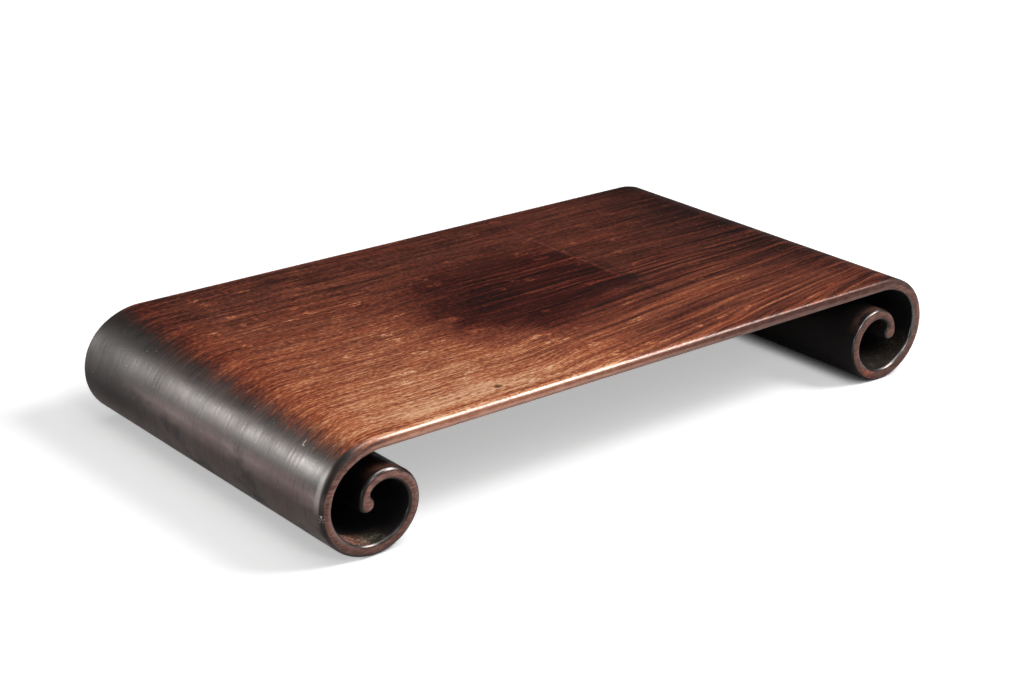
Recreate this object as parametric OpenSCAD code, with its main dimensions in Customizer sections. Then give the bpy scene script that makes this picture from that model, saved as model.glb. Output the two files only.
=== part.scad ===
// Low display stand in hardwood: one thin board whose two ends roll under into open scrolls.
// Millimetres. X runs along the length, the front long edge faces -Y, Z is up,
// and the origin is on the ground under the middle of the stand.

/* [Stand] */
// Length over both scrolls
stand_l = 450; // [400:5:560]
// Depth from the front edge to the back edge
stand_w = 238; // [180:2:300]
// Height of the top surface above the ground
stand_h = 65; // [60:0.5:72]
// Thickness of the board and of the strip that rolls into each scroll
strip_t = 7; // [6:0.1:8]
// Radius of the softened arris along every long edge
arris_r = 2.2; // [1:0.1:2.6]

/* [Scroll] */
// Outer radius of the heel, the quarter turn that runs down to the ground
heel_r = 33.3; // [30:0.1:36]
// Outer radius of the toe, the quarter turn that leaves the ground
toe_r = 27; // [25:0.5:28.5]
// Outer radius of the back, the quarter turn that brings the strip over
back_r = 19.5; // [18:0.5:21]
// Outer radius of the hook, the quarter turn that runs down inside the scroll
hook_r = 17; // [15:0.5:18]
// Radius of the round bead that ends the strip
bead_r = 4.2; // [4:0.1:5]
// Depth of the flat worn under each scroll
foot_wear = 0.3; // [0.1:0.1:0.6]

/* [Joints] */
// Flat stretch that each scroll block keeps between its shoulder and the seam
seam_flat = 18; // [15:1:26]
// Number of loose tenons across each seam
tenon_count = 4; // [3:1:4]
// Length of a loose tenon, half of it in the board and half in the scroll
tenon_l = 24; // [16:1:28]
// Width of a loose tenon
tenon_w = 30; // [20:1:36]
// Thickness of a loose tenon
tenon_t = 2.4; // [2:0.1:2.8]
// Glue line left round a tenon in its mortise
glue_gap = 0.1; // [0.05:0.01:0.2]

/* [Hidden] */
board_colour = [0.47, 0.30, 0.22];
scroll_colour = [0.33, 0.25, 0.22];
tenon_colour = [0.58, 0.38, 0.27];

// Smoothness of the bends and of the arrises
bend_fn = 180;
arris_fn = 24;
// Material that a cutting block takes past the surface it trims
over = 5;

// Each scroll is a volute of tangent quarter turns: shoulder, heel, toe, back and hook.
// The shoulder takes the radius that brings the top to its height.
shoulder_r = stand_h + foot_wear - heel_r;
turn_r = [shoulder_r, heel_r, toe_r, back_r, hook_r];
turns = len(turn_r);

bend_x = stand_l / 2 - shoulder_r;
seam_x = bend_x - seam_flat;
mid_z = stand_h - strip_t / 2;

// Direction from a quarter turn's centre to the start of its strip on the left scroll,
// in X and Z: up, out, down, in, up and out again
function outward(i) = [[0, 1], [-1, 0], [0, -1], [1, 0]][i % 4];

// Centre of each quarter turn on the left scroll, in X and Z
function centre(i) = i == 0
    ? [-bend_x, stand_h - shoulder_r]
    : centre(i - 1) + (turn_r[i - 1] - turn_r[i]) * outward(i);

// The bead lies flush with the strip's outer side, so it stands out on the inner side only
bead_centre = centre(turns - 1) + (hook_r - bead_r) * outward(turns);

tenon_pitch = stand_w / tenon_count;
function tenon_y(i) = (i - (tenon_count + 1) / 2) * tenon_pitch;

// Rectangle in X and Y about the origin, with round corners
module soft_rectangle(size, r) {
    square([size[0] - 2 * r, size[1]], center = true);
    square([size[0], size[1] - 2 * r], center = true);
    for (x = [-1, 1], y = [-1, 1])
        translate([x * (size[0] / 2 - r), y * (size[1] / 2 - r)])
            circle(r, $fn = arris_fn);
}

// Cross-section of the strip: thickness along X, depth of the stand along Y
module strip_section() {
    soft_rectangle([strip_t, stand_w], arris_r);
}

// Straight length of strip from x0 to x1 at the level of the top
module flat_strip(x0, x1) {
    translate([x0, 0, mid_z])
        rotate([90, 0, 90])
            linear_extrude(x1 - x0)
                rotate(90)
                    strip_section();
}

// Places a shape that turns about Z so that it turns about the stand's Y, at p in X and Z
module about_y(p) {
    translate([p[0], 0, p[1]])
        rotate([90, 0, 0])
            children();
}

// One quarter turn of the left scroll
module quarter_turn(i) {
    about_y(centre(i))
        rotate_extrude(angle = 90, start = 90 * (i + 1), $fn = bend_fn)
            translate([turn_r[i] - strip_t / 2, 0])
                strip_section();
}

// Round bead at the inner end of the strip
module bead() {
    about_y(bead_centre)
        rotate_extrude($fn = bend_fn / 2)
            intersection() {
                soft_rectangle([2 * bead_r, stand_w], arris_r);
                translate([0, -stand_w / 2])
                    square([bead_r, stand_w]);
            }
}

// Loose tenon number i of the left seam, with its two edges rounded as a router leaves them;
// gap enlarges it all round into its mortise
module left_tenon_body(i, gap = 0) {
    t = tenon_t + 2 * gap;
    w = tenon_w + 2 * gap;
    l = tenon_l + 2 * gap;
    translate([-seam_x - l / 2, tenon_y(i), mid_z])
        rotate([90, 0, 90])
            linear_extrude(l) {
                square([w - t, t], center = true);
                for (side = [-1, 1])
                    translate([side * (w - t) / 2, 0])
                        circle(t / 2, $fn = arris_fn);
            }
}

module left_mortises() {
    for (i = [1:tenon_count])
        left_tenon_body(i, glue_gap);
}

module top_board() {
    color(board_colour)
        difference() {
            flat_strip(-seam_x, seam_x);
            left_mortises();
            mirror([1, 0, 0])
                left_mortises();
        }
}

module left_scroll_body() {
    difference() {
        union() {
            flat_strip(-bend_x, -seam_x);
            for (i = [0:turns - 1])
                quarter_turn(i);
            bead();
        }
        left_mortises();
        // flat worn underneath
        translate([-stand_l / 2 - over, -stand_w / 2 - over, -over])
            cube([stand_l / 2, stand_w + 2 * over, over]);
    }
}

module left_scroll() {
    color(scroll_colour)
        left_scroll_body();
}

module right_scroll() {
    color(scroll_colour)
        mirror([1, 0, 0])
            left_scroll_body();
}

module left_tenon(i) {
    color(tenon_colour)
        left_tenon_body(i);
}

module right_tenon(i) {
    color(tenon_colour)
        mirror([1, 0, 0])
            left_tenon_body(i);
}

top_board();
left_scroll();
right_scroll();
for (i = [1:tenon_count]) {
    left_tenon(i);
    right_tenon(i);
}
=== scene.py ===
"""Looks of the scroll-ended display stand: hand-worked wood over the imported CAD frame."""
import math

import bmesh
import bpy
import numpy as np
from mathutils import Matrix, Vector


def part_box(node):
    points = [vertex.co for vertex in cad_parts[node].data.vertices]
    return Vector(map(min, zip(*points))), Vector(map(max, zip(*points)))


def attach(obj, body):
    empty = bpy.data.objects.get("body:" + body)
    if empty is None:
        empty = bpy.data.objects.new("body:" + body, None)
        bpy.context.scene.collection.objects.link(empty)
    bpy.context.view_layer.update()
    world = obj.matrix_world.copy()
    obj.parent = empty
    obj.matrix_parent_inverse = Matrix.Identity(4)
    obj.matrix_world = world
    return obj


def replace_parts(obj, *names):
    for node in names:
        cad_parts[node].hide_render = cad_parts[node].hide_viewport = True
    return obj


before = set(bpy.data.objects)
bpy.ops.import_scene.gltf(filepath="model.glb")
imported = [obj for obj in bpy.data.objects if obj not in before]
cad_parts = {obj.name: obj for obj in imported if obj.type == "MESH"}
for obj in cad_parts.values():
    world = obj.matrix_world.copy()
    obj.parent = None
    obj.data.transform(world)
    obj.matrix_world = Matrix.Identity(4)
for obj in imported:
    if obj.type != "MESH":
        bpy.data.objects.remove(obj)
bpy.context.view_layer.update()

MM = 0.001

# Main sizes, read from the frame
board_low, board_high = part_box("top_board")
SEAM_X = board_high.x
HALF_W = board_high.y
TOP_Z = board_high.z
STRIP_T = board_high.z - board_low.z
HALF_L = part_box("right_scroll")[1].x

# The scroll's outer side: degrees turned at the end of each arc, and the arcs' radii up to the hook's
TURN_ENDS = (35, 130, 190, 240, 345, 400, 450)
TURN_RADII = tuple(r * MM for r in (42, 31.16, 34, 28.1, 21.8, 18))
HOOK_R = {"left": 14.6 * MM, "right": 15.8 * MM}
# The bead that ends the strip, how far its centre drops past that end, and the fillet beside it
BEAD_R = {"left": 4.5 * MM, "right": 4.3 * MM}
BEAD_DROP = {"left": 2.0 * MM, "right": 1.0 * MM}
FILLET_R = 2.6 * MM
# The strip thins to this share of its thickness between these turns
NECK_SHARE = 0.78
TAPER_FROM, TAPER_TO = 335, 450

# Where the fillet meets the inner side: searched from this turn on, in so many halvings
MEET_FROM = 380.0
MEET_HALVINGS = 40
# Points of the outer side within this many degrees of that place are left out
MEET_CLEAR = 1
# About how many degrees the bead goes round before the fillet, and the fillet before the inner side
BEAD_ROUND, FILLET_ROUND = 220, 90

# Arrises in millimetres, by degrees turned: reach along Y and sink into the thickness
FRONT_OUTER = (
    (0, 4.4, 3.4), (20, 4.5, 4.2), (60, 3.9, 4.1), (85, 3.0, 3.6), (130, 2.6, 3.0),
    (300, 2.4, 2.6), (345, 2.8, 3.6), (390, 3.2, 3.8), (450, 3.4, 3.4),
)
FRONT_INNER = ((0, 0.9, 0.9), (35, 1.0, 1.0), (100, 2.2, 2.6), (450, 2.2, 2.4))
BACK_ARRIS = ((0, 0.9, 0.9), (450, 0.9, 0.9))
# The front arris is smaller at the right: its share there, and the stretch over which it shrinks
RIGHT_SHARE = 0.58
SHRINK_FROM, SHRINK_TO = -0.02, 0.13
ARRIS_STEPS = 8
# The end faces bulge by this much between their arrises
CROWN = 0.4 * MM
CROWN_STEPS = 6
CROWN_SLOPE = math.atan(4 * CROWN / STRIP_T)
# The dome on the bead's end: its middle, as a share of the way from the bead's far side to the
# strip, and how much of its height it has half way in
BEAD_MIDDLE = 0.45
DOME_HALF_WAY = 0.75

# Spacing of the mesh: degrees on the outer side, the bead and the fillet, then lengths
ARC_STEP, BEAD_STEP, FILLET_STEP = 3.0, 9.0, 12.0
FLAT_STEP = 4.0 * MM
DEPTH_STEP = 6.0 * MM
# The even rows across the depth stay this far from the widest arris
ARRIS_CLEAR = 1.5 * MM

# Unevenness left by planing by hand: its depth, and its waves as (rate along, rate across, start,
# share)
WAVE_DEPTH = 0.12 * MM
WAVES = ((31, 17, 0.7, 1.0), (-53, 41, 2.1, 1.0), (97, 23, 0.0, 0.7), (19, -88, 1.3, 0.6))

# Camera fitted to the outline of the stand in the photograph
CAMERA_AT = (-0.74113, -0.87991, 0.48577)
CAMERA_YAW, CAMERA_PITCH, CAMERA_ROLL = 39.893, 21.478, 0.915
CAMERA_LENS = 72.993
CAMERA_SENSOR = 36


def smooth(low, high, value):
    t = min(1.0, max(0.0, (value - low) / (high - low)))
    return t * t * (3 - 2 * t)


def heading(turn):
    """Outward direction, in X and Z, after the left scroll has turned by so many degrees."""
    a = math.radians(turn)
    return np.array((-math.sin(a), math.cos(a)))


def turn_of(direction, near):
    """Turn whose heading is this direction, the one closest to a given turn."""
    a = math.degrees(math.atan2(-direction[0], direction[1]))
    return a + 360 * round((near - a) / 360)


def outer_side(side):
    """Rows of the outer side from the seam to the bead: (point, turn, length along the strip)."""
    radii = TURN_RADII + (HOOK_R[side],)
    tangent = HALF_L - radii[1] - (radii[0] - radii[1]) * math.sin(math.radians(TURN_ENDS[0]))
    flat = tangent - SEAM_X
    steps = max(1, round(flat / FLAT_STEP))
    rows = [(np.array((-SEAM_X - flat * k / steps, TOP_Z)), 0.0, SEAM_X + flat * k / steps)
            for k in range(steps)]
    centre, start, length = np.array((-tangent, TOP_Z - radii[0])), 0.0, tangent
    for i, (radius, end) in enumerate(zip(radii, TURN_ENDS)):
        if i:
            centre = centre + (radii[i - 1] - radius) * heading(start)
        count = max(2, math.ceil((end - start) / ARC_STEP))
        for k in range(count):
            turn = start + (end - start) * k / count
            s = length + radius * math.radians(turn - start)
            rows.append((centre + radius * heading(turn), turn, s))
        length += radius * math.radians(end - start)
        start = end
    rows.append((centre + radii[-1] * heading(start), start, length))
    return rows


def row_at(rows, turn):
    """Row of the outer side where the strip has turned so far, between the given rows."""
    turns = [row[1] for row in rows]
    columns = ([row[0][0] for row in rows], [row[0][1] for row in rows], [row[2] for row in rows])
    x, z, s = (float(np.interp(turn, turns, column)) for column in columns)
    return np.array((x, z)), turn, s


def thickness(turn):
    return STRIP_T * (1 - (1 - NECK_SHARE) * smooth(TAPER_FROM, TAPER_TO, turn))


def inner_point(point, turn):
    """Point of the inner side that faces this one of the outer side."""
    return point - thickness(turn) * heading(turn)


def bead_and_fillet(side, rows):
    """Bead centre, its fillet's centre, and the row where the fillet meets the inner side."""
    end, end_turn, _ = rows[-1]
    radius = BEAD_R[side]
    bead = end - radius * heading(end_turn) + BEAD_DROP[side] * heading(end_turn + 90)

    def fillet_at(turn):
        return inner_point(row_at(rows, turn)[0], turn) - FILLET_R * heading(turn)

    low, high = MEET_FROM, end_turn
    for _ in range(MEET_HALVINGS):
        middle = (low + high) / 2
        gap = np.linalg.norm(fillet_at(middle) - bead) - radius - FILLET_R
        low, high = (middle, high) if gap > 0 else (low, middle)
    meet = (low + high) / 2
    return bead, fillet_at(meet), row_at(rows, meet)


def outline_point(point, normal, s, depth, inner, turn):
    """One point of an outline; inner goes from 0 on the outer side to 1 on the inner side."""
    share = thickness(turn) / STRIP_T
    return dict(p=point, n=normal, s=s, d=depth, inner=inner, share=share, turn=turn)


def bead_points(radius, end_row, bead, fillet):
    """Round of the bead, from the end of the outer side to the fillet."""
    _, end_turn, end_s = end_row
    out = turn_of(fillet - bead, end_turn + BEAD_ROUND)
    count = max(6, math.ceil((out - end_turn) / BEAD_STEP))
    points = []
    for k in range(count + 1):
        share = k / count
        turn = end_turn + (out - end_turn) * k / count
        s = end_s + radius * math.radians(turn - end_turn)
        points.append(outline_point(bead + radius * heading(turn), heading(turn), s,
                                    share * STRIP_T, share, end_turn))
    return points


def fillet_points(bead, fillet, meet_row):
    """Hollow round of the fillet, from the bead to the inner side."""
    _, meet, s = meet_row
    first = turn_of(bead - fillet, meet + FILLET_ROUND)
    last = turn_of(heading(meet), first)
    count = max(4, math.ceil(abs(last - first) / FILLET_STEP))
    turns = [first + (last - first) * k / count for k in range(1, count)]
    return [outline_point(fillet + FILLET_R * heading(turn), -heading(turn), s, STRIP_T, 1.0, meet)
            for turn in turns]


def scroll_outline(side):
    """Closed outline of a scroll, drawn as at the left, and how many of its pairs face each other."""
    rows = outer_side(side)
    bead, fillet, meet_row = bead_and_fillet(side, rows)
    meet = meet_row[1]
    paired = [row for row in rows if row[1] < meet - MEET_CLEAR] + [meet_row]
    after = [row for row in rows if row[1] > meet + MEET_CLEAR]
    outline = [outline_point(p, heading(turn), s, 0.0, 0.0, turn) for p, turn, s in paired + after]
    outline += bead_points(BEAD_R[side], rows[-1], bead, fillet)
    outline += fillet_points(bead, fillet, meet_row)
    outline += [outline_point(inner_point(p, turn), -heading(turn), s, thickness(turn), 1.0, turn)
                for p, turn, s in reversed(paired)]
    return outline, len(paired)


def board_outline():
    """Closed outline of the board: over the top towards -X and back along the underside."""
    count = round(2 * SEAM_X / FLAT_STEP)
    xs = [SEAM_X - 2 * SEAM_X * k / count for k in range(count + 1)]
    up = np.array((0.0, 1.0))
    top = [outline_point(np.array((x, TOP_Z)), up, -x, 0.0, 0.0, 0.0) for x in xs]
    under = [outline_point(np.array((x, TOP_Z - STRIP_T)), -up, -x, STRIP_T, 1.0, 0.0)
             for x in reversed(xs)]
    return top + under, len(xs)


def depth_levels():
    """Rows across the depth: (kind, value), with the arris rows at both ends."""
    rows = [("front", k / ARRIS_STEPS) for k in range(ARRIS_STEPS + 1)]
    reach = HALF_W - CROWN - max(row[1] for row in FRONT_OUTER) * MM - ARRIS_CLEAR
    count = round(2 * reach / DEPTH_STEP)
    rows += [("between", -reach + 2 * reach * k / count) for k in range(count + 1)]
    rows += [("back", 1 - k / ARRIS_STEPS) for k in range(ARRIS_STEPS + 1)]
    return rows


def wave(s, y):
    """Hand-planed unevenness, from 0 to 1, smooth over some centimetres."""
    height = sum(share * math.sin(along * s + across * y + start)
                 for along, across, start, share in WAVES)
    return 0.5 + height / (2 * sum(share for *_, share in WAVES))


def arris_size(q, front, s):
    """Reach along Y and sink into the thickness of the arris at one point of the outline."""
    tables = (FRONT_OUTER, FRONT_INNER) if front else (BACK_ARRIS, BACK_ARRIS)
    right = 1 - (1 - RIGHT_SHARE) * smooth(SHRINK_FROM, SHRINK_TO, s) if front else 1.0
    sizes = []
    for k in (1, 2):
        outer, inner = (np.interp(q["turn"], [row[0] for row in table], [row[k] for row in table])
                        for table in tables)
        sizes.append((outer * right + (inner - outer * right) * q["inner"]) * q["share"] * MM)
    return sizes


def arris_section(q, kind, value, s):
    """Place along Y, sink below the outline and rim value of one vertex."""
    if kind == "between":
        return value, 0.0, 1.0
    reach, sink = arris_size(q, kind == "front", s)
    a = CROWN_SLOPE + value * (math.pi / 2 - CROWN_SLOPE)
    y = HALF_W - CROWN * q["share"] - reach * (math.cos(CROWN_SLOPE) - math.cos(a))
    return (-y if kind == "front" else y), sink * (1 - math.sin(a)), value


def sweep(outline, levels, side):
    """Vertices of the swept outline, and beside them what the wood reads there: strip and zone."""
    sign = 1.0 if side == "right" else -1.0
    verts, strip, zone = [], [], []
    for kind, value in levels:
        for q in outline:
            s = sign * q["s"]
            y, inset, rim = arris_section(q, kind, value, s)
            inset += WAVE_DEPTH * wave(s, y) * (1 - q["inner"])
            x, z = q["p"] - inset * q["n"]
            verts.append((-sign * x, y, max(z, 0.0)))
            strip.append((s, y, q["d"]))
            zone.append((rim, q["inner"], 0.0))
    return verts, strip, zone


def vertex_between(shape, a, b, share, rise=0.0):
    """New vertex on the way from one to another, moved along Y by the rise."""
    for rows in shape:
        rows.append(tuple(u + (v - u) * share for u, v in zip(rows[a], rows[b])))
    verts = shape[0]
    x, y, z = verts[-1]
    verts[-1] = (x, y + rise, z)
    return len(verts) - 1


def close_end(shape, base, outline, paired, outward):
    """Faces over one end of the strip: crowned from arris to arris, and round on the bead."""
    size = len(outline)
    marks = [j / CROWN_STEPS for j in range(1, CROWN_STEPS)]
    across = []
    for k in range(paired):
        a, b = base + k, base + size - 1 - k
        rise = outward * CROWN * outline[k]["share"]
        middle = [vertex_between(shape, a, b, f, 4 * f * (1 - f) * rise) for f in marks]
        across.append([a] + middle + [b])
    faces = [(m[j], n[j], n[j + 1], m[j + 1])
             for m, n in zip(across, across[1:]) for j in range(CROWN_STEPS)]
    faces.append(tuple(across[0]))
    rim = list(range(base + paired - 1, base + size - paired + 1))
    if len(rim) == 2:
        return faces + [tuple(across[-1])]
    return faces + cap_bead(shape, rim, across[-1], outward * CROWN * outline[paired]["share"])


def cap_bead(shape, rim, neck, rise):
    """Faces that dome the bead's end, between its rim and the strip's last row across."""
    verts = shape[0]
    far = rim[len(rim) // 2]
    centre = vertex_between(shape, far, neck[CROWN_STEPS // 2], BEAD_MIDDLE)
    rim = rim + neck[-2:0:-1]
    level = verts[rim[0]][1]
    verts[centre] = (verts[centre][0], level + rise, verts[centre][2])
    half = []
    for v in rim:
        half.append(vertex_between(shape, v, centre, 0.5))
        x, _, z = verts[half[-1]]
        own = verts[v][1] - level
        verts[half[-1]] = (x, level + (1 - DOME_HALF_WAY) * own + DOME_HALF_WAY * rise, z)
    faces = []
    for j in range(len(rim)):
        k = (j + 1) % len(rim)
        faces += [(rim[j], rim[k], half[k], half[j]), (half[j], half[k], centre)]
    return faces


def build_strip(name, outline, paired, side):
    """Mesh swept along Y from a closed outline, with rounded ends."""
    levels = depth_levels()
    size = len(outline)
    shape = sweep(outline, levels, side)
    faces = []
    for a in range(len(levels) - 1):
        for j in range(size):
            k = (j + 1) % size
            faces.append((a * size + j, a * size + k, (a + 1) * size + k, (a + 1) * size + j))
    for base, outward in ((0, -1), ((len(levels) - 1) * size, 1)):
        faces += close_end(shape, base, outline, paired, outward)
    mesh = bpy.data.meshes.new(name)
    mesh.from_pydata(shape[0], [], faces)
    mesh.validate()
    for label, values in zip(("strip", "zone"), shape[1:]):
        layer = mesh.attributes.new(label, "FLOAT_VECTOR", "POINT")
        layer.data.foreach_set("vector", np.array(values, np.float32).ravel())
    finish_mesh(mesh)
    obj = bpy.data.objects.new(name, mesh)
    bpy.context.scene.collection.objects.link(obj)
    return obj


def finish_mesh(mesh):
    """Normals outwards, smooth faces, and crisp edges round each seam."""
    on_seam = 0.001 * MM
    bm = bmesh.new()
    bm.from_mesh(mesh)
    bmesh.ops.recalc_face_normals(bm, faces=bm.faces)
    for face in bm.faces:
        face.smooth = any(abs(abs(v.co.x) - SEAM_X) > on_seam for v in face.verts)
    for edge in bm.edges:
        edge.smooth = len({f.smooth for f in edge.link_faces}) == 1
    bm.to_mesh(mesh)
    bm.free()


def rgb(red, green, blue):
    """Colour written as on a screen, 0 to 255, turned into the linear values of a shader."""
    return tuple((c / 12.92 if c <= 0.04045 else ((c + 0.055) / 1.055) ** 2.4)
                 for c in (v / 255 for v in (red, green, blue))) + (1.0,)


# Nearly all values of a noise lie between these two
NOISE_LOW, NOISE_HIGH = 0.3, 0.7
# Scattered dots: how softly the draw decides, and the share of a dot's radius that is solid
DRAW_EDGE = 0.01
DOT_CORE = 0.4
# How much of a mark's size its soft edge takes, on most marks and on the crisp ones
SOFT, CRISP = 0.7, 0.4


class Graph:
    """Short names for building a material's nodes."""

    def __init__(self, tree):
        self.tree = tree
        tree.nodes.clear()

    def node(self, kind, **settings):
        made = self.tree.nodes.new(kind)
        for key, value in settings.items():
            setattr(made, key, value)
        return made

    def put(self, socket, value):
        if isinstance(value, bpy.types.NodeSocket):
            self.tree.links.new(value, socket)
        elif value is not None:
            socket.default_value = value

    def filled(self, kind, inputs, **settings):
        """Node with its inputs filled from a dict of their names or numbers."""
        made = self.node(kind, **settings)
        for key, value in inputs.items():
            self.put(made.inputs[key], value)
        return made

    def surface(self, shader):
        self.filled("ShaderNodeOutputMaterial", {"Surface": shader.outputs[0]})

    def object_place(self):
        return self.node("ShaderNodeTexCoord").outputs["Object"]

    def math(self, operation, a, b=None, clamp=False):
        settings = dict(operation=operation, use_clamp=clamp)
        return self.filled("ShaderNodeMath", {0: a, 1: b}, **settings).outputs[0]

    def chain(self, operation, first, *rest):
        for value in rest:
            first = self.math(operation, first, value)
        return first

    def add(self, *values):
        return self.chain("ADD", *values)

    def times(self, *values):
        return self.chain("MULTIPLY", *values)

    def most(self, *values):
        return self.chain("MAXIMUM", *values)

    def minus(self, a, b):
        return self.math("SUBTRACT", a, b)

    def invert(self, value):
        return self.minus(1.0, value)

    def join(self, x, y, z=0.0):
        return self.filled("ShaderNodeCombineXYZ", {0: x, 1: y, 2: z}).outputs[0]

    def split(self, vector):
        return self.filled("ShaderNodeSeparateXYZ", {0: vector}).outputs

    def length(self, vector):
        return self.filled("ShaderNodeVectorMath", {0: vector}, operation="LENGTH").outputs["Value"]

    def scaled(self, x, y, z, kx, ky, kz=0.0):
        return self.join(self.times(x, kx), self.times(y, ky), self.times(z, kz) if kz else 0.0)

    def noise(self, vector, detail=2.0, rough=0.5):
        inputs = {"Vector": vector, "Scale": 1.0, "Detail": detail, "Roughness": rough}
        return self.filled("ShaderNodeTexNoise", inputs).outputs[0]

    def remap(self, value, low, high, to_low, to_high, **settings):
        inputs = {"Value": value, "From Min": low, "From Max": high, "To Min": to_low, "To Max": to_high}
        return self.filled("ShaderNodeMapRange", inputs, **settings).outputs[0]

    def line(self, value, low, high, to_low=0.0, to_high=1.0):
        """Goes evenly from one result to the other while the value goes from low to high."""
        return self.remap(value, low, high, to_low, to_high)

    def step(self, value, low, high, to_low=0.0, to_high=1.0):
        """The same with a soft start and end."""
        return self.remap(value, low, high, to_low, to_high, interpolation_type="SMOOTHSTEP")

    def fade(self, value, low, high):
        return self.step(value, low, high, 1.0, 0.0)

    def stretch(self, value, rise, fall):
        """1 from the end of the rise to the start of the fall, and 0 outside both."""
        return self.times(self.step(value, *rise), self.fade(value, *fall))

    def spread(self, noise, low, high):
        """Noise spread out from low to high."""
        return self.line(noise, NOISE_LOW, NOISE_HIGH, low, high)

    def mix(self, share, a, b):
        return self.filled("ShaderNodeMix", {0: share, 6: a, 7: b}, data_type="RGBA").outputs[2]

    def blend(self, share, a, b):
        return self.filled("ShaderNodeMix", {0: share, 2: a, 3: b}, data_type="FLOAT").outputs[0]

    def lay(self, colour, *layers):
        """Lays further colours over the first, each by a share of its mask: (mask, share, colour)."""
        for mask, share, over in layers:
            colour = self.mix(self.times(mask, share), colour, over)
        return colour

    def ramp(self, value, stops):
        made = self.filled("ShaderNodeValToRGB", {0: value})
        elements = made.color_ramp.elements
        while len(elements) < len(stops):
            elements.new(0.5)
        for element, (at, colour) in zip(elements, stops):
            element.position = at
            element.color = colour
        return made.outputs[0]

    def shades(self, value, places, *colours):
        """Ramp through colours written as on a screen, one at each place."""
        return self.ramp(value, [(at, rgb(*colour)) for at, colour in zip(places, colours)])

    def spot(self, u, v, at, half, soft):
        """1 inside an ellipse, fading to 0 at its edge; place and half sizes in millimetres."""
        du, dv = (self.times(self.minus(w, c * MM), 1 / (h * MM)) for w, c, h in zip((u, v), at, half))
        return self.fade(self.length(self.join(du, dv)), 1 - soft, 1 + soft)

    def specks(self, u, v, cell, radius, share):
        """Dots scattered at random: one to a cell, on this share of the cells; cell in millimetres."""
        cells = self.scaled(u, v, v, 1 / (cell[0] * MM), 1 / (cell[1] * MM))
        made = self.filled("ShaderNodeTexVoronoi", {"Vector": cells, "Scale": 1.0},
                           voronoi_dimensions="2D", feature="F1")
        drawn = self.split(made.outputs["Color"])[0]
        chosen = self.step(drawn, 1 - share, 1 - share + DRAW_EDGE)
        return self.times(chosen, self.fade(made.outputs["Distance"], DOT_CORE * radius, radius))


class WoodGraph(Graph):
    """Graph that knows where on the strip a point lies.

    s is the way along the strip from the middle of the stand, negative at the left, and away the
    same without its sign. y runs across the strip, depth down from its outer side, and depth_in
    inwards from the nearer end face. rim is 0 on an end face and 1 past the arris, inner is 0 on
    the outer side and 1 on the inner side, and place is the point itself.
    """

    def __init__(self, tree):
        super().__init__(tree)
        self.s, self.y, self.depth = self.split(self.attribute("strip"))
        self.rim, self.inner, _ = self.split(self.attribute("zone"))
        self.place = self.split(self.object_place())
        self.away = self.math("ABSOLUTE", self.s)
        self.depth_in = self.minus(HALF_W, self.math("ABSOLUTE", self.y))
        self.outside = self.invert(self.inner)
        self.arris = self.math("MULTIPLY", self.times(self.rim, self.invert(self.rim)), 4.0, clamp=True)
        self.right = self.step(self.s, -0.01, 0.01)
        self.left = self.invert(self.right)

    def attribute(self, name):
        return self.node("ShaderNodeAttribute", attribute_name=name).outputs["Vector"]

    def figure(self, along, across, down=0.0, detail=2.0, rough=0.5):
        """Noise drawn on the strip, at these rates along, across and down into it."""
        at = self.scaled(self.s, self.y, self.depth, along, across, down)
        return self.noise(at, detail, rough)

    def mark(self, spot, soft=SOFT):
        """Spot on the strip: its place along and across, and its half sizes, in millimetres."""
        return self.spot(self.s, self.y, *spot, soft)


# Wood tones from the darkest to the lightest, on the board's tone scale, which ends at TONE_TOP
TONE_TOP = 1.25
TONES = (
    (0.00, rgb(14, 8, 7)),
    (0.15, rgb(34, 17, 14)),
    (0.30, rgb(62, 27, 21)),
    (0.43, rgb(90, 45, 33)),
    (0.63, rgb(128, 68, 49)),
    (0.80, rgb(163, 92, 63)),
    (0.92, rgb(191, 119, 81)),
    (1.02, rgb(213, 147, 106)),
    (1.25, rgb(240, 194, 156)),
)
RED_TONES = (
    (0.00, rgb(16, 5, 4)),
    (0.30, rgb(72, 21, 13)),
    (0.43, rgb(102, 42, 30)),
    (0.63, rgb(144, 66, 43)),
    (0.80, rgb(180, 90, 56)),
    (1.02, rgb(220, 140, 94)),
    (1.25, rgb(240, 180, 132)),
)
# How far each kind of grain line moves the tone
BAND_GAIN, STREAK_GAIN, DASH_GAIN, GRIT_GAIN = 0.05, 0.34, 0.21, 0.23

# The stain's reach to the left of the middle, and to the front and the back
STAIN_REACH = (0.086, 0.064)
# Its straight edge at the right
STAIN_CUT = (0.058, 0.074)

# Marks on the strip in millimetres: (place along and across, half sizes)
# The pale patch at the front left is partly sun-faded wood, partly painted light
PALE_PATCH = ((-128, -102), (32, 8))
SCORE, SCORE_SHADE = ((66.8, 38), (0.9, 52)), ((72.0, 12), (3.2, 34))
KNOT, KNOT_TAIL = ((69, -20), (7.5, 5.0)), ((66, -38), (2.6, 14))
PIT = ((-102, -104.5), (2.6, 1.6))
NICK, NICK_END = ((-214, -86.6), (1.7, 0.34)), ((-215.6, -87.4), (0.36, 0.9))
CHIPS = ((-245.4, -117.3), (2.2, 1.0))
# The same on the end faces, by place along X and Z
WORN_FOOT = ((180.5, 7.5), (7.5, 4.5))

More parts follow.
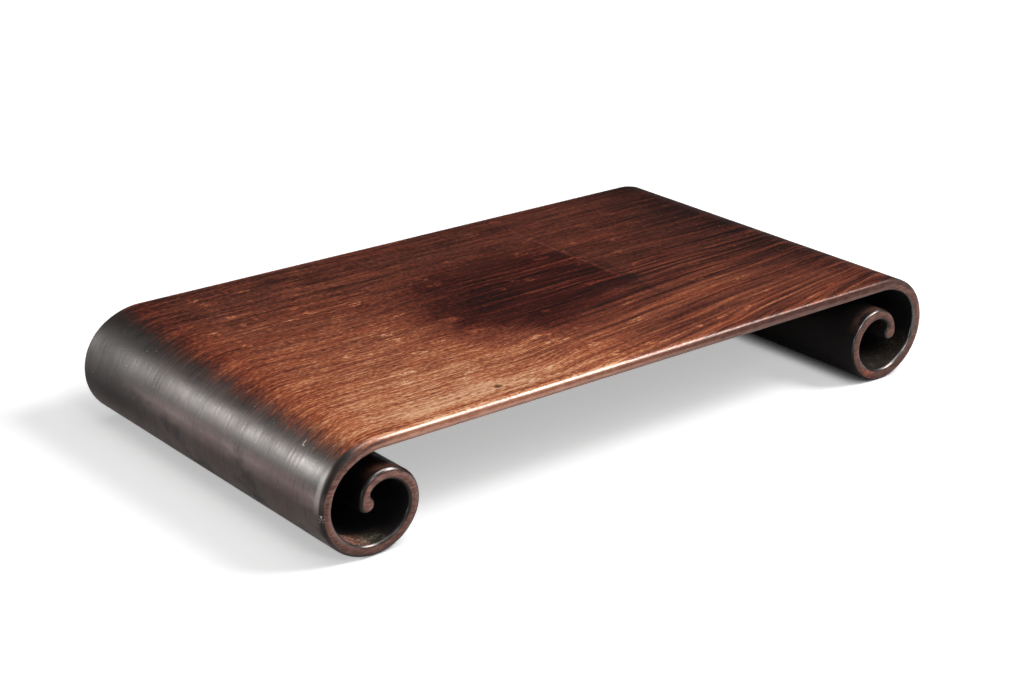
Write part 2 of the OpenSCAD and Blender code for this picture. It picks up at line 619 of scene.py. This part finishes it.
# Stretches along the strip, in metres from its middle, over which a look comes or goes
TOP_DIMS = (0.168, 0.208)
TOP_ENDS = (0.1965, 0.2160)
FACE_TURNS = (0.165, 0.215)
UNDERSIDE_ENDS = (0.175, 0.215)
SHOULDER = ((0.178, 0.192), (0.212, 0.236))
NICKED = ((0.200, 0.206), (0.27, 0.28))
RIM_HIGHLIGHT = ((0.217, 0.226), (0.233, 0.246))
OUT_OF_SIGHT = (0.25, 0.275)
BOTTOM = ((0.250, 0.262), (0.294, 0.310))
MOSSY = (0.282, 0.296)
CURL = ((0.345, 0.356), (0.372, 0.384))
DULL = ((0.198, 0.212), (0.330, 0.350))
# Stretches across the strip at its front edge: a dark line on the top, a painted dark reflection, and a
# pale one on the scroll, a painted highlight
DARK_LINE = ((-0.1166, -0.1150), (-0.1132, -0.1112))
PALE_LINE = ((-0.1172, -0.1158), (-0.1137, -0.1110))

# Tones round the scroll, from the first place along the strip to the second: dark polish with a dark gap
# and a pale band beside the highlight, a painted reflection of the floor low on the side, and painted
# near-black shade deep round the curl
BARREL_FROM, BARREL_TO = 0.20, 0.40
BARREL_TONES_AND_LIGHT = (
    (0.00, rgb(42, 33, 30)),
    (0.11, rgb(80, 68, 64)),
    (0.135, rgb(32, 26, 24)),
    (0.155, rgb(54, 43, 40)),
    (0.182, rgb(186, 161, 157)),
    (0.195, rgb(158, 134, 129)),
    (0.21, rgb(130, 110, 105)),
    (0.223, rgb(104, 90, 85)),
    (0.26, rgb(112, 99, 94)),
    # Painted reflection of the floor on the lower side
    (0.34, rgb(150, 137, 132)),
    # Painted near-black shade from here round the curl, where the outer side lies in shadow
    (0.44, rgb(15, 12, 12)),
    (1.0, rgb(12, 8, 9)),
)

# Places of the three shades on the end faces and on plain wood
FACE_PLACES = (0.36, 0.50, 0.64)
PLAIN_PLACES = (0.35, 0.50, 0.65)
# Along the board's front edge its shades change from the left's to the right's between these
EDGE_TURNS = (-0.12, 0.10)

# Coat of polish on the arrises, shine of the wood under it, and the bump of the grain
COAT_ROUGH = 0.20
COAT_IOR = 2.0
WOOD_IOR = 1.45
BOARD_SHINE, SCROLL_SHINE = 0.30, 0.25
BUMP_DEPTH = 0.2 * MM
WOOD_BUMP, TENON_BUMP = 0.25, 0.3


def new_material(name, kind=Graph):
    material = bpy.data.materials.new(name)
    material.use_nodes = True
    return material, kind(material.node_tree)


def toned(g, tone, stops):
    return g.ramp(g.times(tone, 1 / TONE_TOP), [(at / TONE_TOP, colour) for at, colour in stops])


def grain(g):
    """Noises drawn out along the strip. The lines lean towards the back on their way to the right."""
    main_lean = g.times(g.most(g.add(g.s, 0.06), 0.0), g.step(g.y, -0.09, 0.03, 0.15, 0.0))
    front_lean = g.times(g.most(g.minus(g.s, 0.07), 0.0), g.step(g.y, -0.115, -0.075, 0.14, 0.0))
    drift = g.times(g.figure(9, 14, detail=1), 0.010)
    across = g.minus(g.add(g.y, drift), g.add(main_lean, front_lean))

    def lines(along, over, down, detail=2, rough=0.5):
        return g.noise(g.scaled(g.s, across, g.depth, along, over, down), detail, rough)

    return dict(
        bands=lines(5, 55, 200),
        streaks=lines(7, 260, 260, detail=4, rough=0.6),
        dashes=lines(42, 620, 620, detail=3, rough=0.65),
        grit=lines(300, 950, 950, rough=0.6),
        tint=lines(14, 60, 60))


def stain_mask(g, streaks):
    """Old dark stain in the middle, round to the left and cut straight at the right."""
    loose = g.add(g.spread(g.figure(26, 40, detail=3), -0.16, 0.16), g.spread(streaks, 0.32, -0.32))
    to_left = g.times(g.math("MINIMUM", g.s, 0.0), 1 / STAIN_REACH[0])
    reach = g.length(g.join(to_left, g.times(g.y, 1 / STAIN_REACH[1])))
    open_corner = g.times(g.step(g.s, -0.01, 0.06), g.step(g.y, 0.0, -0.045, 0.0, 0.45))
    body = g.fade(g.add(reach, open_corner, loose), 0.40, 1.22)
    cut = g.fade(g.s, *STAIN_CUT)
    return g.times(body, cut)


def top_tone(g, stain, bands):
    """Lightness of the top: lighter at the front left, with a pale patch there, and darker to the back
    and to the right; partly sun-faded wood, partly painted light.
    """
    left = g.line(g.y, -0.12, 0.12, 1.02, 0.375)
    right = g.step(g.y, -0.105, -0.01, 0.59, 0.415)
    tone = g.blend(g.step(g.s, -0.106, 0.050), left, right)
    pale_patch = g.mark(PALE_PATCH)
    right_end = g.step(g.s, 0.11, 0.200, 0.0, 0.17)
    tone = g.minus(g.add(tone, g.times(pale_patch, 0.10)), right_end)
    both_ends = g.step(g.away, *TOP_DIMS, 1.0, 0.86)
    tone = g.blend(stain, g.times(tone, both_ends), g.spread(bands, 0.155, 0.24))

    # A dark line is painted behind the front arris as a dark reflection there, strong at the left. The
    # arris itself is paler: worn wood with a painted soft rim round its highlight.
    line_left = g.step(g.s, -0.03, -0.09, 0.15, 1.0)
    dark_line = g.times(g.stretch(g.y, *DARK_LINE), line_left, 0.24)
    worn_and_lit_edge = g.times(g.step(g.y, -0.1155, -0.1170), g.step(g.s, -0.05, 0.12, 0.10, 0.03))
    return g.add(g.minus(tone, dark_line), worn_and_lit_edge)


def grain_tone(g, tone, stain, lines):
    """Grain lines added to the tone, each kind as strong as the place asks, and pale flecks."""
    front_right = g.times(g.step(g.s, -0.09, 0.0), g.step(g.y, 0.04, -0.05))
    long_share = g.most(stain, g.line(front_right, 0.0, 1.0, 0.45, 1.0))
    short_share = g.times(g.step(g.s, -0.10, 0.06, 1.0, 0.62), g.step(stain, 0.0, 1.0, 1.0, 0.85),
                          g.step(g.s, -0.195, -0.165, 1.10, 1.0))
    tone = g.add(tone, g.spread(lines["bands"], -BAND_GAIN, BAND_GAIN))
    for name, share, gain in (("streaks", long_share, STREAK_GAIN), ("dashes", short_share, DASH_GAIN),
                              ("grit", short_share, GRIT_GAIN)):
        tone = g.add(tone, g.times(share, g.spread(lines[name], -gain, gain)))
    ragged = g.step(g.figure(330, 420), 0.40, 0.58)
    flecks = g.specks(g.add(g.s, g.times(lines["tint"], 0.06)), g.y, (25, 16), 0.24, 0.40)
    fleck_gain = g.times(g.step(g.s, -0.20, -0.17), g.step(g.s, 0.02, 0.15, 0.30, 0.14))
    return g.add(tone, g.times(flecks, ragged, fleck_gain))


def top_colour(g, lines):
    """Brown of the top, redder in patches, in the stain and at the left end."""
    stain = stain_mask(g, lines["streaks"])
    tone = grain_tone(g, top_tone(g, stain, lines["bands"]), stain, lines)
    patches = g.times(g.step(lines["tint"], 0.42, 0.66, 0.0, 0.35), g.step(tone, 0.25, 0.5))
    left_end = g.step(g.s, -0.205, -0.165, 0.75, 0.0)
    redder = g.most(patches, g.times(stain, 0.85), left_end)
    return marks(g, g.mix(redder, toned(g, tone, TONES), toned(g, tone, RED_TONES)))


def marks(g, colour):
    """Wear of the top: a faint scored line, a burnt knot, a pit and small specks."""
    broken = g.step(g.figure(60, 90), 0.36, 0.60, 0.25, 1.0)
    score = g.times(g.mark(SCORE), broken)
    knot = g.most(g.mark(KNOT, 0.6), g.times(g.mark(KNOT_TAIL), 0.45))
    dust = g.specks(g.s, g.y, (31, 23), 0.024, 0.3)
    return g.lay(colour,
                 (score, 0.26, rgb(176, 98, 76)),
                 (g.mark(SCORE_SHADE), 0.28, rgb(40, 20, 18)),
                 (knot, 0.85, rgb(34, 19, 19)),
                 (g.mark(PIT, 0.5), 0.85, rgb(52, 25, 19)),
                 (dust, 0.45, rgb(190, 150, 136)))


def barrel_colour(g):
    """Nearly black polish round the scrolls, purplish where hands rub it; its tones also hold painted
    light and painted shade.
    """
    base = g.ramp(g.line(g.away, BARREL_FROM, BARREL_TO), BARREL_TONES_AND_LIGHT)
    mottle = g.figure(48, 30, 100, detail=4, rough=0.62)
    rubs = g.figure(50, 620, 100, detail=3, rough=0.62)
    seen = g.step(g.away, *OUT_OF_SIGHT, 1.0, 0.04)
    # Painted shade darkens the upper side of the scroll towards the back
    shaded_back = g.times(g.step(g.y, 0.01, 0.09), g.fade(g.away, 0.246, 0.262))
    # Painted highlight: a pale line beside the front arris, over the scroll's outermost part
    rim_highlight = g.times(g.stretch(g.y, *PALE_LINE), g.stretch(g.away, *RIM_HIGHLIGHT))
    return g.lay(base,
                 (g.times(g.step(mottle, 0.42, 0.66), seen), 0.45, rgb(98, 72, 68)),
                 (g.fade(mottle, 0.30, 0.50), 0.65, rgb(22, 18, 16)),
                 (g.times(g.step(rubs, 0.50, 0.68), seen), 0.28, rgb(132, 110, 106)),
                 (g.times(g.fade(rubs, 0.32, 0.48), seen), 0.30, rgb(26, 21, 19)),
                 (shaded_back, 0.90, rgb(24, 19, 17)),
                 (rim_highlight, 0.75, rgb(214, 206, 198)))


def nicks(g):
    """Pale dots, one hook-shaped nick and a few chips at the front rim of the left scroll."""
    dots = g.times(g.specks(g.s, g.y, (15, 13), 0.026, 0.3), 0.6)
    nick = g.most(g.mark(NICK, CRISP), g.mark(NICK_END, CRISP))
    chips = g.times(g.mark(CHIPS, CRISP), g.step(g.figure(1100, 1400), 0.50, 0.60))
    return g.times(g.most(nick, chips, dots), g.stretch(g.away, *NICKED), g.outside)


def scroll_face(g, tone, cloud):
    """End face of a scroll: darker at the right and low down, red where the right foot is worn."""
    x, _, z = g.place
    worn_foot = g.times(g.spot(x, z, *WORN_FOOT, SOFT), g.step(cloud, 0.42, 0.56))
    return g.lay(g.shades(tone, FACE_PLACES, (88, 57, 50), (128, 90, 80), (168, 126, 112)),
                 (g.right, 0.30, rgb(60, 38, 34)),
                 (g.fade(z, 0.006, 0.024), 0.52, rgb(64, 38, 34)),
                 (worn_foot, 0.7, rgb(158, 82, 60)))


def board_face(g, tone):
    """Long edge of the board: a dark grain line under the arris, a pale one below, then a painted grey
    reflection of the floor along the lower edge.
    """
    # Lighter at the left and darker at the right, following the top: partly the wood's tone, partly
    # painted light
    turned = g.step(g.s, *EDGE_TURNS)
    left = g.shades(tone, FACE_PLACES, (150, 94, 74), (192, 130, 104), (216, 160, 134))
    right = g.shades(tone, FACE_PLACES, (58, 30, 24), (98, 56, 46), (132, 86, 73))
    fibre = g.noise(g.scaled(g.s, g.depth, g.s, 14, 900), detail=3, rough=0.6)
    # The lines lie lower at the right
    lowered = g.step(g.s, -0.02, 0.12)
    level = g.minus(g.add(g.depth, g.spread(fibre, -0.0006, 0.0006)), g.times(lowered, 0.0011))
    dark_line = g.fade(level, 0.0014, 0.0028)
    pale_line = g.stretch(level, (0.0024, 0.0036), (0.0052, 0.0064))
    floor_reflection = g.step(level, 0.0048, 0.0064)
    return g.lay(g.mix(turned, left, right),
                 (dark_line, 0.55, g.mix(turned, rgb(112, 62, 44), rgb(60, 30, 26))),
                 (pale_line, g.blend(lowered, 0.6, 0.42),
                  g.mix(turned, rgb(206, 156, 136), rgb(136, 107, 97))),
                 (floor_reflection, 0.75, rgb(128, 110, 102)))


def face_colour(g):
    """Front and back faces: reddish brown on the board, darker and mottled round the scrolls."""
    x, y, z = g.place
    hatch = g.noise(g.scaled(x, z, y, 150, 900), detail=3, rough=0.65)
    cloud = g.noise(g.scaled(x, z, y, 160, 160), detail=3, rough=0.6)
    tone = g.add(g.times(hatch, 0.6), g.times(cloud, 0.4))
    colour = g.mix(g.step(g.away, *FACE_TURNS), board_face(g, tone), scroll_face(g, tone, cloud))
    shoulder = g.times(g.stretch(g.away, *SHOULDER), g.fade(g.depth, 0.0016, 0.0030))
    return g.lay(colour, (shoulder, 0.6, rgb(58, 38, 33)))


def hollow_colour(g, streaks):
    """Inside of the scrolls: paler near the ends, partly dust and partly painted light, and painted
    near-black shade deeper in; brown under the board.
    """
    dust = g.add(g.times(g.figure(600, 600, rough=0.7), 0.6), g.times(g.figure(110, 110), 0.4))
    brown = g.shades(dust, (0.37, 0.48, 0.59), (60, 38, 31), (124, 78, 63), (190, 152, 132))
    mossy = g.shades(dust, (0.42, 0.54, 0.64), (24, 22, 17), (64, 58, 46), (132, 128, 106))
    left = g.mix(g.step(g.away, *MOSSY), brown, mossy)
    right = g.shades(dust, (0.40, 0.52, 0.64), (20, 16, 12), (36, 30, 24), (72, 64, 53))
    bottom = g.stretch(g.away, *BOTTOM)
    up_the_back = g.step(g.away, 0.30, 0.34, 0.0, 0.6)
    # The paler dust stops at a sharp painted shadow edge a little way in from the end faces
    left_share = g.times(bottom, g.fade(g.depth_in, 0.012, 0.017))
    right_share = g.times(g.most(bottom, up_the_back), g.fade(g.depth_in, 0.008, 0.034))
    plain = g.shades(streaks, PLAIN_PLACES, (42, 23, 18), (66, 36, 27), (90, 52, 39))
    # Painted near-black shade deeper inside the scrolls
    dark = g.mix(g.step(g.away, *UNDERSIDE_ENDS), plain, rgb(14, 9, 11))
    return g.mix(g.right, g.mix(left_share, dark, left), g.mix(right_share, dark, right))


def barrel_mask(g):
    """1 past the ragged line where the brown top gives way to the dark of the scroll."""
    feather = g.spread(g.figure(55, 380, detail=4, rough=0.65), -0.0055, 0.0055)
    slant = g.line(g.y, -0.12, 0.12, -0.003, 0.008)
    front = g.step(g.y, -0.1135, -0.1170, 0.0, 0.010)
    return g.step(g.add(g.away, feather, slant, front), *TOP_ENDS)


def wood_colour(g, lines, barrel):
    """Colours of the outer side, with those of the end faces and the inner side over them."""
    # The curl's outer side shows worn reddish wood close to its end faces
    worn = g.step(g.figure(90, 140, detail=3, rough=0.6), 0.36, 0.56)
    curl = g.times(g.stretch(g.away, *CURL), g.fade(g.depth_in, 0.003, 0.011), worn)
    # Painted shade darkens the rounded arrises of the scrolls
    shaded_arris = g.times(g.step(g.arris, 0.2, 0.8), g.step(g.away, 0.196, 0.212))
    colour = g.lay(g.mix(barrel, top_colour(g, lines), barrel_colour(g)),
                   (curl, 0.8, rgb(104, 66, 54)), (shaded_arris, 0.8, rgb(30, 22, 21)))
    colour = g.mix(g.fade(g.rim, 0.03, 0.30), colour, face_colour(g))
    inner_side = g.times(g.inner, g.step(g.rim, 0.45, 0.95))
    colour = g.mix(inner_side, colour, hollow_colour(g, lines["streaks"]))
    return g.mix(nicks(g), colour, rgb(225, 220, 214))


def polish_mask(g):
    """Polish on the arrises, duller on the outer side of the scroll down to the curl."""
    dull = g.times(g.stretch(g.away, *DULL), g.outside)
    # Inside the left scroll, in both curls and on the left curl's outer side the arris shines less
    left_inside = g.times(g.inner, g.step(g.away, 0.288, 0.298), g.left, 0.8)
    in_curl = g.times(g.inner, g.step(g.away, 0.364, 0.378), 0.7)
    left_curl = g.times(g.outside, g.step(g.away, *CURL[1]), g.left, 0.9)
    onset = g.step(g.away, 0.20, 0.25, 0.42, 1.0)
    quiet = g.most(left_inside, in_curl)
    return g.times(g.arris, g.invert(dull), g.invert(quiet), g.invert(left_curl), onset)


def roughness(g, barrel, polish):
    """Uneven sheen: patches on the top, rubbed and duller to the back round the scrolls."""
    patches = g.spread(g.figure(40, 420, detail=3), 0.38, 0.48)
    rubbed = g.add(g.spread(g.figure(45, 36, detail=3), 0.36, 0.50),
                   g.spread(g.figure(40, 560, detail=3, rough=0.6), -0.07, 0.07),
                   g.step(g.y, 0.0, 0.11, 0.0, 0.12))
    rough = g.blend(barrel, patches, rubbed)
    right_scroll = g.step(g.s, 0.185, 0.200)
    inner_side = g.times(g.inner, g.rim)
    for mask, value in ((right_scroll, 0.72), (inner_side, 0.75), (polish, 0.25)):
        rough = g.blend(mask, rough, value)
    return rough


def wood_surface(g, height, strength, inputs):
    """Output of a wood: a shader with these inputs over a bump of this strength."""
    bump = g.filled("ShaderNodeBump", {"Strength": strength, "Distance": BUMP_DEPTH, "Height": height})
    g.surface(g.filled("ShaderNodeBsdfPrincipled", {**inputs, "Normal": bump.outputs[0]}))


def wood(name, shine):
    """Old polished hardwood: brown on the top, nearly black round the scrolls."""
    material, g = new_material(name, WoodGraph)
    lines = grain(g)
    barrel = barrel_mask(g)
    polish = polish_mask(g)
    fine_grain = g.add(g.times(lines["dashes"], 0.4), g.times(lines["grit"], 0.6))
    wood_surface(g, g.times(fine_grain, g.step(g.rim, 0.90, 1.0)), WOOD_BUMP, {
        "Base Color": wood_colour(g, lines, barrel),
        "Roughness": roughness(g, barrel, polish),
        "IOR": WOOD_IOR,
        "Specular IOR Level": shine,
        "Coat Weight": polish,
        "Coat Roughness": COAT_ROUGH,
        "Coat IOR": COAT_IOR})
    return material


def tenon_wood():
    """Plain sawn hardwood of the hidden tenons."""
    material, g = new_material("tenon_wood")
    x, y, z = g.split(g.object_place())
    fibres = g.noise(g.scaled(x, y, z, 40, 900, 900), detail=3, rough=0.6)
    colour = g.shades(fibres, (0.3, 0.7), (120, 76, 52), (166, 112, 78))
    wood_surface(g, fibres, TENON_BUMP, {"Base Color": colour, "Roughness": 0.7})
    return material


def build_object():
    """Dressed board and scrolls in place of their solids, and plain wood on the hidden tenons."""
    board_material, scroll_material = wood("board_wood", BOARD_SHINE), wood("scroll_wood", SCROLL_SHINE)
    outline, paired = board_outline()
    board = build_strip("board", outline, paired, "board")
    board.data.materials.append(board_material)
    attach(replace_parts(board, "top_board"), "root")
    for side in ("left", "right"):
        outline, paired = scroll_outline(side)
        piece = build_strip(side + "_roll", outline, paired, side)
        piece.data.materials.append(scroll_material)
        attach(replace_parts(piece, side + "_scroll"), "root")
    hidden = tenon_wood()
    for name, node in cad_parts.items():
        if "tenon" in name:
            node.data.materials.clear()
            node.data.materials.append(hidden)


def place_camera():
    """Camera with the photograph's place, direction, roll and lens."""
    yaw, pitch, roll = (math.radians(a) for a in (CAMERA_YAW, CAMERA_PITCH, CAMERA_ROLL))
    forward = Vector((math.sin(yaw) * math.cos(pitch), math.cos(yaw) * math.cos(pitch), -math.sin(pitch)))
    level = Vector((math.cos(yaw), -math.sin(yaw), 0))
    above = level.cross(forward)
    right = level * math.cos(roll) + above * math.sin(roll)
    up = above * math.cos(roll) - level * math.sin(roll)
    data = bpy.data.cameras.new("camera")
    data.sensor_width = CAMERA_SENSOR
    data.lens = CAMERA_LENS
    camera = bpy.data.objects.new("camera", data)
    turn = Matrix((right, up, -forward)).transposed().to_4x4()
    camera.matrix_world = Matrix.Translation(CAMERA_AT) @ turn
    bpy.context.scene.collection.objects.link(camera)
    bpy.context.scene.camera = camera


FLOOR_SIZE = 30.0
FLOOR_GAP = 0.2 * MM
# Grey of the floor as light finds it, and as the camera sees it
FLOOR_ALBEDO = 0.80
FLOOR_SEEN = 0.90
# Whiteness added to the floor for the camera, beside the stand and far off, and the way between them
LIFT_NEAR, LIFT_FAR = 0.46, 1.0
LIFT_FROM, LIFT_TO = 0.40, 1.30
# Things closer than this darken the floor, to the right of this place along X
CONTACT_REACH = 14 * MM
CONTACT_FROM = (-0.195, -0.180)
# In front of the left ring they darken it a little further to the left
CONTACT_FRONT = (-0.114, -0.120)
CONTACT_SHIFT = 0.022
# Share of open sky over which contact fades
CONTACT_FADE = (0.02, 0.70)
CONTACT_SAMPLES = 12


def contact_light(g, place):
    """0 where the stand touches the floor, 1 where nothing is near."""
    x, y, _ = g.split(place)
    sky = g.filled("ShaderNodeAmbientOcclusion", {"Distance": CONTACT_REACH}, samples=CONTACT_SAMPLES)
    clear = g.step(sky.outputs["AO"], *CONTACT_FADE)
    along = g.add(x, g.step(y, *CONTACT_FRONT, 0.0, CONTACT_SHIFT))
    return g.most(clear, g.fade(along, *CONTACT_FROM))


def floor_material():
    """Plain and pale to every ray, but lifted to white for the camera."""
    material, g = new_material("floor")
    plain, seen = (g.filled("ShaderNodeBsdfDiffuse", {"Color": (grey, grey, grey, 1)})
                   for grey in (FLOOR_ALBEDO, FLOOR_SEEN))
    place = g.object_place()
    lift = g.step(g.length(place), LIFT_FROM, LIFT_TO, LIFT_NEAR, LIFT_FAR)
    glow = g.filled("ShaderNodeEmission", {"Strength": g.times(lift, contact_light(g, place))})
    lifted = g.filled("ShaderNodeAddShader", {0: seen.outputs[0], 1: glow.outputs[0]})
    to_camera = g.node("ShaderNodeLightPath").outputs["Is Camera Ray"]
    g.surface(g.filled("ShaderNodeMixShader", {0: to_camera, 1: plain.outputs[0], 2: lifted.outputs[0]}))
    return material


def stage_floor():
    """Pale floor that keeps the shadow and shows as white to the camera."""
    h = FLOOR_SIZE / 2
    mesh = bpy.data.meshes.new("floor")
    mesh.from_pydata([(-h, -h, 0), (h, -h, 0), (h, h, 0), (-h, h, 0)], [], [(0, 1, 2, 3)])
    mesh.materials.append(floor_material())
    floor = bpy.data.objects.new("floor", mesh)
    floor.location.z = -FLOOR_GAP
    bpy.context.scene.collection.objects.link(floor)


WHITE, WARM, WARMER = (1.0, 1.0, 1.0), (1.0, 0.950, 0.915), (1.0, 0.89, 0.83)
STAND, LEFT_SIDE, LEFT_RING = (0, 0, 0.03), (-0.2, -0.1, 0.04), (-0.22, -0.05, 0.05)
# Lamps: name, place, width and height, what a mirror shows of it, aim, tint, and what it lights
LAMPS = (
    ("key", (1.65, -1.32, 2.13), (1.05, 1.05), 17.7, STAND, WHITE, "matt"),
    ("key_shine", (1.65, -1.32, 2.13), (0.80, 0.80), 46.0, STAND, WARMER, "gloss"),
    ("overhead", (-0.3, -0.3, 2.4), (2.4, 2.4), 1.05, STAND, WHITE, "both"),
    ("front", (-0.64, -2.13, 1.68), (0.70, 0.70), 7.0, STAND, WHITE, "both"),
    ("sky", (0.5, -1.0, 2.4), (1.4, 1.4), 2.6, STAND, WARMER, "gloss"),
    ("edge", (1.10, -1.30, 1.05), (0.60, 0.60), 12.0, STAND, WARMER, "gloss"),
    ("band", (-0.75, -2.0, 1.0), (2.0, 0.7), 1.5, STAND, WARM, "gloss"),
    ("side", (-2.0, -0.5, 0.45), (0.8, 0.6), 4.0, LEFT_SIDE, WHITE, "gloss"),
    ("rim", (-0.745, 0.55, 0.40), (0.26, 0.16), 95.0, LEFT_RING, WARM, "gloss"),
    ("horizon", (-0.74, 0.66, 0.16), (0.60, 0.26), 5.0, LEFT_RING, WARM, "gloss"),
)
# Light that the white world gives; the camera sees it at full strength
WORLD_LIGHT = 0.04


def softbox(name, place, size, radiance, aim, tint, lights):
    """Rectangular area light, turned to its aim and unseen by the camera."""
    data = bpy.data.lights.new(name, "AREA")
    data.shape = "RECTANGLE"
    data.size, data.size_y = size
    data.energy = radiance * math.pi * size[0] * size[1]
    data.color = tint
    light = bpy.data.objects.new(name, data)
    light.location = place
    light.rotation_mode = "QUATERNION"
    light.rotation_quaternion = (Vector(place) - Vector(aim)).to_track_quat("Z", "Y")
    light.visible_camera = False
    light.visible_diffuse = lights != "gloss"
    light.visible_glossy = lights != "matt"
    bpy.context.scene.collection.objects.link(light)


def light_scene():
    """The lamps, and a world that is white to the camera and faint to everything else."""
    for lamp in LAMPS:
        softbox(*lamp)
    world = bpy.data.worlds.new("studio")
    world.use_nodes = True
    tree = world.node_tree
    sky = tree.nodes["Background"]
    sky.inputs["Color"].default_value = (1, 1, 1, 1)
    rays = tree.nodes.new("ShaderNodeLightPath")
    strength = tree.nodes.new("ShaderNodeMapRange")
    strength.inputs["To Min"].default_value = WORLD_LIGHT
    tree.links.new(rays.outputs["Is Camera Ray"], strength.inputs["Value"])
    tree.links.new(strength.outputs[0], sky.inputs["Strength"])
    bpy.context.scene.world = world


build_object()
place_camera()
stage_floor()
light_scene()
bpy.context.scene.view_settings.view_transform = "Standard"
